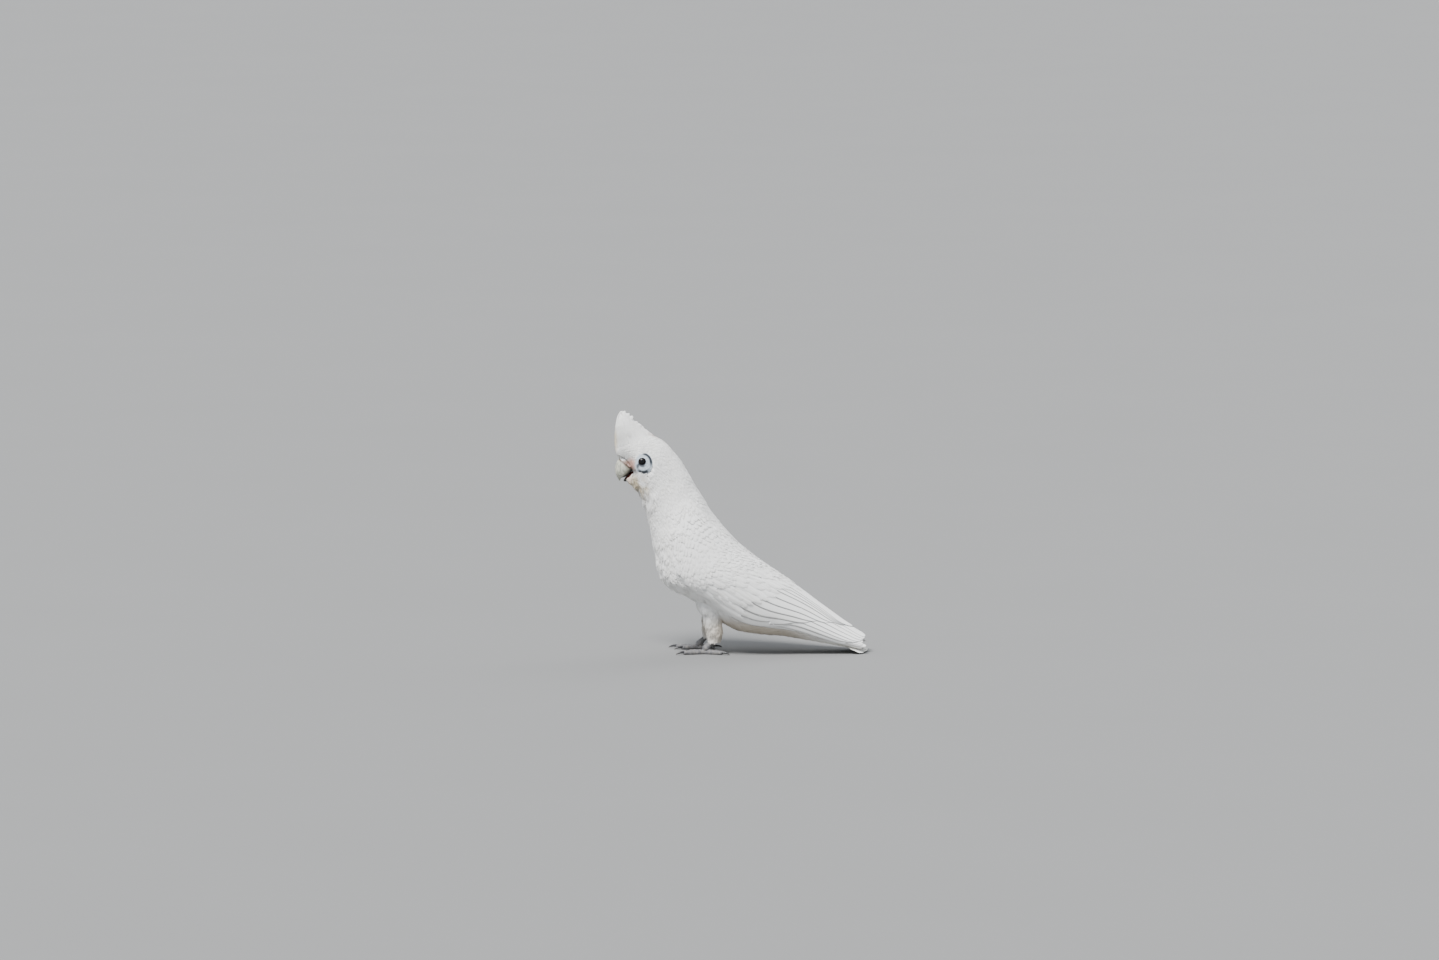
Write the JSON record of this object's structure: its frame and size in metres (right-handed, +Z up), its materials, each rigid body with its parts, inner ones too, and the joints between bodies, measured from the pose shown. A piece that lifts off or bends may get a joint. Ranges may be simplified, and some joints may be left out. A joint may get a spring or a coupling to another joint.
{
  "type": "little corella museum model",
  "caption": "Life-size still model of a small white cockatoo, standing with its crest raised and its tail tip on the floor.",
  "frame": {"origin": "on the floor, under the middle of the bird's bounding box", "axes": "+Z up, -X the way the bill points, -Y the bird's left side"},
  "size_m": [0.2919, 0.1112, 0.2776],
  "materials": {
    "plumage": "matte white feathers with a cream stain on the cheeks, salmon lores and a pale yellow wash under wings and tail",
    "bill_horn": "satin bone-coloured horn with fine growth lines",
    "skin": "bare blue-grey wrinkled skin round the eye",
    "eye": "wet gloss over a dark brown iris and black pupil",
    "leg_scales": "dark grey scaly skin",
    "claw": "satin near-black horn"
  },
  "bodies": {
    "root": {"head": "plumage", "neck": "plumage", "trunk": "plumage", "tail": "plumage", "crest": "plumage", "bill_upper": "bill_horn", "bill_lower": "bill_horn", "wing_coverts_l": "plumage", "wing_secondaries_l": "plumage", "wing_primaries_l": "plumage", "thigh_l": "plumage", "shank_l": "plumage", "eye_l": "eye", "eye_skin_l": "skin", "foot_l": "leg_scales", "toe_1_l": "leg_scales", "claw_1_l": "claw", "toe_2_l": "leg_scales", "claw_2_l": "claw", "toe_3_l": "leg_scales", "claw_3_l": "claw", "toe_4_l": "leg_scales", "claw_4_l": "claw", "wing_coverts_r": "plumage", "wing_secondaries_r": "plumage", "wing_primaries_r": "plumage", "thigh_r": "plumage", "shank_r": "plumage", "eye_r": "eye", "eye_skin_r": "skin", "foot_r": "leg_scales", "toe_1_r": "leg_scales", "claw_1_r": "claw", "toe_2_r": "leg_scales", "claw_2_r": "claw", "toe_3_r": "leg_scales", "claw_3_r": "claw", "toe_4_r": "leg_scales", "claw_4_r": "claw"}
  },
  "joints": []
}
